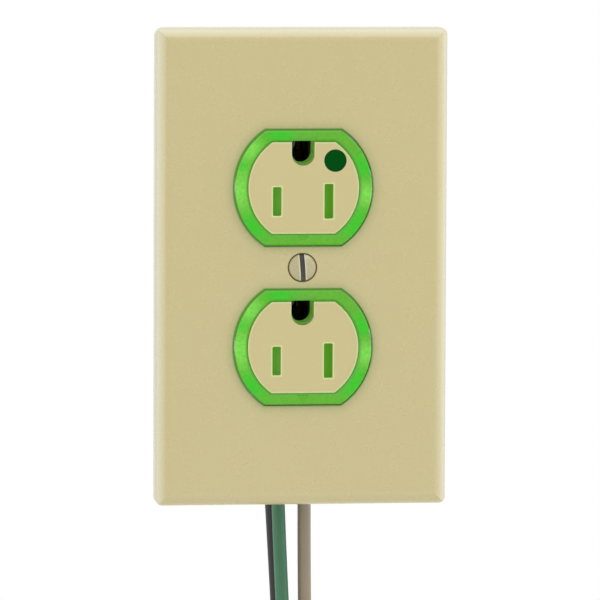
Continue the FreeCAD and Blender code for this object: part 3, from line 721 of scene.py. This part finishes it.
def strand_tree():
    """A bundle of drawn wires laid in a hexagon and twisted along Z."""
    tree, given = new_tree(
        "twisted_strands",
        [("Strand Radius", "Float"), ("Length", "Float"), ("Lay Length", "Float"),
         ("Splay", "Float"), ("Material", "Material")],
    )
    line = node(
        tree, "GeometryNodeCurvePrimitiveLine", {"Start": (0, 0, 0), "End": (0, 0, 1)}
    )
    fine = node(tree, "GeometryNodeResampleCurve", {"Curve": line.outputs[0], "Count": 20})
    # one wire in the middle, six round it and twelve round those
    spots = node(tree, "GeometryNodeMeshLine", {"Count": 19})
    index = node(tree, "GeometryNodeInputIndex").outputs[0]
    outer = node(
        tree, "ShaderNodeMath", {0: index, 1: 6.5}, operation="GREATER_THAN"
    ).outputs[0]
    inner = node(
        tree, "ShaderNodeMath", {0: index, 1: 0.5}, operation="GREATER_THAN"
    ).outputs[0]
    ring = node(tree, "ShaderNodeMath", {0: inner, 1: outer}, operation="ADD").outputs[0]
    away = node(
        tree, "ShaderNodeMath", {0: ring, 1: given["Strand Radius"]}, operation="MULTIPLY"
    ).outputs[0]
    away = node(tree, "ShaderNodeMath", {0: away, 1: 1.98}, operation="MULTIPLY").outputs[0]
    step = node(
        tree, "ShaderNodeMapRange", {"Value": outer, 1: 0, 2: 1, 3: math.tau / 6, 4: math.tau / 12}
    ).outputs[0]
    angle = node(tree, "ShaderNodeMath", {0: index, 1: step}, operation="MULTIPLY").outputs[0]
    laid = node(
        tree,
        "GeometryNodeSetPosition",
        {"Geometry": spots.outputs[0], "Position": polar(tree, away, angle, 0.0)},
    )
    wires = node(
        tree,
        "GeometryNodeInstanceOnPoints",
        {"Points": laid.outputs[0], "Instance": fine.outputs[0]},
    )
    real = node(tree, "GeometryNodeRealizeInstances", {"Geometry": wires.outputs[0]})
    place = node(tree, "GeometryNodeInputPosition").outputs[0]
    share = node(tree, "ShaderNodeSeparateXYZ", {0: place}).outputs[2]
    rise = node(
        tree, "ShaderNodeMath", {0: share, 1: given["Length"]}, operation="MULTIPLY"
    ).outputs[0]
    twist = node(
        tree, "ShaderNodeMath", {0: rise, 1: given["Lay Length"]}, operation="DIVIDE"
    ).outputs[0]
    twist = node(
        tree, "ShaderNodeMath", {0: twist, 1: math.tau}, operation="MULTIPLY"
    ).outputs[0]
    turned = node(
        tree, "ShaderNodeVectorRotate", {"Vector": place, "Angle": twist}, rotation_type="Z_AXIS"
    ).outputs[0]
    # the wires stray a little from their lay towards the cut end
    bend = node(tree, "ShaderNodeMath", {0: share, 1: 2.0}, operation="POWER").outputs[0]
    bend = node(
        tree, "ShaderNodeMath", {0: bend, 1: given["Splay"]}, operation="MULTIPLY"
    ).outputs[0]
    wander = node(
        tree,
        "ShaderNodeTexNoise",
        {"Vector": node(tree, "ShaderNodeVectorMath", {0: place, 1: (1, 1, 0)},
                        operation="MULTIPLY").outputs[0],
         "Scale": 2400.0, "Detail": 0.0},
    ).outputs["Color"]
    wander = node(
        tree, "ShaderNodeVectorMath", {0: wander, 1: (0.5, 0.5, 0.5)}, operation="SUBTRACT"
    ).outputs[0]
    wander = node(
        tree, "ShaderNodeVectorMath", {0: wander, 3: bend}, operation="SCALE"
    ).outputs[0]
    flat = node(
        tree, "ShaderNodeVectorMath", {0: turned, 1: (1, 1, 0)}, operation="MULTIPLY"
    ).outputs[0]
    flat = node(tree, "ShaderNodeVectorMath", {0: flat, 1: wander}, operation="ADD").outputs[0]
    axes = node(tree, "ShaderNodeSeparateXYZ", {0: flat})
    final = node(
        tree, "ShaderNodeCombineXYZ", {0: axes.outputs[0], 1: axes.outputs[1], 2: rise}
    ).outputs[0]
    twisted = node(
        tree, "GeometryNodeSetPosition", {"Geometry": real.outputs[0], "Position": final}
    )
    section = node(
        tree, "GeometryNodeCurvePrimitiveCircle",
        {"Resolution": 8, "Radius": given["Strand Radius"]},
    )
    drawn = node(
        tree,
        "GeometryNodeCurveToMesh",
        {"Curve": twisted.outputs[0], "Profile Curve": section.outputs[0], "Fill Caps": True},
    )
    end_tree(tree, drawn.outputs[0], given["Material"])
    return tree


def upright_to(direction):
    """The turn that takes +Z to this direction."""
    return Vector(direction).to_track_quat("Z", "Y").to_matrix().to_4x4()


def springs():
    """A coil between each pair of shutters, and one under the latch."""
    tree = spring_tree()
    for name, z in (("upper", OUTLET_Z), ("lower", -OUTLET_Z)):
        low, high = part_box("shutter_spring_" + name)
        wire = 0.12 * MM
        size = {
            "Coil Radius": 0.78 * MM, "Wire Radius": wire, "Turns": 9.0, "Steps": 200,
            "Length": high.x - low.x - 2 * wire, "Material": wire_steel,
        }
        start = Vector((low.x + wire, (low.y + high.y) / 2, z - 3.2 * MM))
        place = Matrix.Translation(start) @ upright_to((1, 0, 0))
        piece = piece_from(
            "coiled_spring_" + name, [grown(tree, size, place)], "outlet", "spring_steel",
            "shutter_spring_" + name,
        )
        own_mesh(piece)
    low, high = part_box("latch_spring")
    wire = 0.15 * MM
    size = {
        "Coil Radius": 1.1 * MM, "Wire Radius": wire, "Turns": 4.0, "Steps": 110,
        "Length": high.z - low.z - 2 * wire, "Material": wire_steel,
    }
    place = Matrix.Translation((0, 38 * MM, low.z + wire))
    piece = piece_from(
        "coiled_latch_spring", [grown(tree, size, place)], "outlet", "spring_steel",
        "latch_spring",
    )
    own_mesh(piece)


def head_of(name, cut_y, bevel_mm):
    """The head of a CAD screw, cut off its shank, closed, with its sharp edges eased."""
    work = bmesh.new()
    work.from_mesh(nodes[name].data)
    bmesh.ops.remove_doubles(work, verts=work.verts, dist=1e-6)
    bmesh.ops.bisect_plane(
        work, geom=work.verts[:] + work.edges[:] + work.faces[:], dist=1e-7,
        plane_co=(0, cut_y, 0), plane_no=(0, 1, 0), clear_outer=True,
    )
    bmesh.ops.holes_fill(work, edges=[e for e in work.edges if e.is_boundary], sides=0)
    bmesh.ops.dissolve_limit(
        work, angle_limit=math.radians(1.0), verts=work.verts, edges=work.edges
    )
    sharp = [
        e for e in work.edges
        if len(e.link_faces) == 2 and e.calc_face_angle(0) > math.radians(32)
        and e.verts[0].co.y < cut_y - 1e-5
    ]
    bmesh.ops.bevel(
        work, geom=sharp, offset=bevel_mm * MM, segments=2, profile=0.5, affect="EDGES",
        clamp_overlap=True,
    )
    for face in work.faces:
        face.smooth = True
    bmesh.ops.recalc_face_normals(work, faces=work.faces)
    mesh = bpy.data.meshes.new(name + "_head")
    work.to_mesh(mesh)
    work.free()
    return mesh


def screws():
    """The plate screw and the two box screws: a CAD head on a rolled thread each."""
    tree = thread_tree()
    down = upright_to((0, 1, 0))

    def shank(z, start, length, crest, root, finish):
        size = {
            "Crest Radius": crest * MM, "Root Radius": root * MM, "End Radius": 1.05 * MM,
            "Pitch": 0.794 * MM, "Length": length * MM, "Material": finish,
        }
        return grown(tree, size, Matrix.Translation((0, start * MM, z)) @ down)

    head = head_of("plate_screw", -4.3 * MM, 0.07)
    head.materials.clear()
    head.materials.append(ivory_enamel)
    piece_from(
        "threaded_plate_screw", [head, shank(0, -4.5, 20.4, 1.7, 1.28, ivory_enamel)],
        "plate_screw", "ivory_paint", "plate_screw",
    )
    heads = head_of("box_screws", -1.3 * MM, 0.08)
    heads.materials.clear()
    heads.materials.append(zinc_steel)
    low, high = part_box("box_screws")
    reach = (low.z + high.z) / 2 + (high.z - low.z) / 2 - 3.4 * MM
    piece_from(
        "threaded_box_screws",
        [heads] + [shank(side * reach, -1.5, 21.1, 1.75, 1.3, zinc_steel) for side in (1, -1)],
        "outlet", "zinc_steel", "box_screws",
    )


def copper_ends():
    """Nineteen twisted strands where each lead is stripped."""
    tree = strand_tree()
    for colour, (_, route_mm) in LEADS.items():
        end, before = Vector(route_mm[-1]) * MM, Vector(route_mm[-2]) * MM
        way = (end - before).normalized()
        size = {
            "Strand Radius": 0.2 * MM, "Length": 11.3 * MM, "Lay Length": 30 * MM,
            "Splay": 0.5 * MM, "Material": bare_copper,
        }
        place = Matrix.Translation(end - way * 0.4 * MM) @ upright_to(way)
        piece_from(
            "strands_" + colour, [grown(tree, size, place)], "outlet", "copper",
            "copper_" + colour,
        )


def eased(name, bevel_mm, body):
    """A merged copy of a CAD piece, in its stead, with its moulded or sheared edges eased."""
    work = bmesh.new()
    work.from_mesh(nodes[name].data)
    bmesh.ops.remove_doubles(work, verts=work.verts, dist=1e-6)
    bmesh.ops.dissolve_limit(
        work, angle_limit=math.radians(0.5), verts=work.verts, edges=work.edges
    )
    for face in work.faces:
        face.smooth = True
    made = bpy.data.meshes.new(name + "_eased")
    work.to_mesh(made)
    work.free()
    made.materials.append(FINISH[name])
    piece = bpy.data.objects.new(name + "_eased", made)
    bpy.context.scene.collection.objects.link(piece)
    bevel = piece.modifiers.new("eased_edges", "BEVEL")
    bevel.width = bevel_mm * MM
    bevel.segments = 2
    bevel.limit_method = "ANGLE"
    bevel.angle_limit = math.radians(40)
    bevel.use_clamp_overlap = True
    flats = piece.modifiers.new("flat_faces_stay_flat", "WEIGHTED_NORMAL")
    flats.weight = 90
    flats.keep_sharp = True
    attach(piece, body)
    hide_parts(name)


# bevel in mm, body and slot of each piece whose edges are eased
EASED = {
    "module_housing": (0.25, "outlet", "module_plastic"),
    "module_cover": (0.3, "outlet", "module_plastic"),
    "module_latch": (0.1, "module_latch", "latch_plastic"),
    "back_body": (0.25, "outlet", "black_body"),
    "mounting_strap": (0.12, "outlet", "zinc_steel"),
}
for name, (bevel_mm, body, slot) in EASED.items():
    eased(name, bevel_mm, body)
springs()
screws()
copper_ends()


# ---- leads: one smooth line each, from the crimp to the stripped end ----
def lead(colour, finish, route_mm):
    """A jacketed lead as one NURBS line with a round section."""
    line = bpy.data.curves.new("jacket_" + colour, "CURVE")
    line.dimensions = "3D"
    spline = line.splines.new("NURBS")
    spline.points.add(len(route_mm) - 1)
    for point, place in zip(spline.points, route_mm):
        point.co = (*[v * MM for v in place], 1.0)
    spline.order_u = 3
    spline.use_endpoint_u = True
    line.resolution_u = 12
    line.bevel_depth = LEAD_DIAMETER / 2
    line.bevel_resolution = 8
    line.use_fill_caps = True
    line.materials.append(finish)
    piece = bpy.data.objects.new("jacket_" + colour, line)
    bpy.context.scene.collection.objects.link(piece)
    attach(piece, "outlet")
    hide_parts("lead_" + colour)


for colour, (finish, route_mm) in LEADS.items():
    lead(colour, finish, route_mm)


# ---- floor, light and camera ----
def floor():
    """A plain pale floor below the hanging leads."""
    mesh = bpy.data.meshes.new("floor")
    half, depth, drop = 0.9, 0.5, cad_low.z - 0.012
    mesh.from_pydata(
        [(-half, -1.2, drop), (half, -1.2, drop), (half, depth, drop), (-half, depth, drop)],
        [], [(0, 1, 2, 3)],
    )
    made, _, shader = blank("pale_floor", Roughness=0.7)
    shader.inputs["Base Color"].default_value = linear("#ECECEA")
    mesh.materials.append(made)
    piece = bpy.data.objects.new("floor", mesh)
    bpy.context.scene.collection.objects.link(piece)


def softbox(name, place, size, power):
    """A white area light that faces the object."""
    lamp = bpy.data.lights.new(name, "AREA")
    lamp.shape = "RECTANGLE"
    lamp.size, lamp.size_y = size
    lamp.energy = power
    piece = bpy.data.objects.new(name, lamp)
    piece.location = place
    piece.rotation_euler = (Vector((0, 0, 0)) - Vector(place)).to_track_quat("-Z", "Y").to_euler()
    bpy.context.scene.collection.objects.link(piece)


def studio():
    """White surroundings, a soft key from the upper right and a softbox on each side."""
    world = bpy.data.worlds.new("white_studio")
    world.use_nodes = True
    tree = world.node_tree
    back = tree.nodes["Background"]
    back.inputs["Strength"].default_value = 1.0
    back.inputs["Color"].default_value = (1, 1, 1, 1)
    bpy.context.scene.world = world
    softbox("key", (0.6, -0.95, 0.8), (0.3, 0.3), 3.0)
    softbox("left_box", (-1.0, -0.2, 0.05), (1.6, 1.8), 9.0)
    softbox("right_box", (1.0, -0.2, 0.05), (1.6, 1.8), 9.0)
    softbox("top_box", (0.0, -0.25, 1.0), (1.8, 1.4), 8.0)


def camera():
    """A long lens, a little left of square-on and a little above."""
    azimuth, elevation, roll = (math.radians(v) for v in (-7.0, 5.05, 0.22))
    target = Vector((-0.56, -6.0, -7.75)) * MM
    away = 1.5
    back = Vector(
        (
            math.sin(azimuth) * math.cos(elevation),
            -math.cos(azimuth) * math.cos(elevation),
            math.sin(elevation),
        )
    )
    data = bpy.data.cameras.new("camera")
    data.lens = 377.7
    data.clip_start, data.clip_end = 0.1, 20
    piece = bpy.data.objects.new("camera", data)
    piece.location = target + back * away
    turn = (-back).to_track_quat("-Z", "Y").to_matrix() @ Matrix.Rotation(roll, 3, "Z")
    piece.rotation_euler = turn.to_euler()
    bpy.context.scene.collection.objects.link(piece)
    bpy.context.scene.camera = piece


floor()
studio()
camera()
bpy.context.scene.view_settings.view_transform = "Standard"
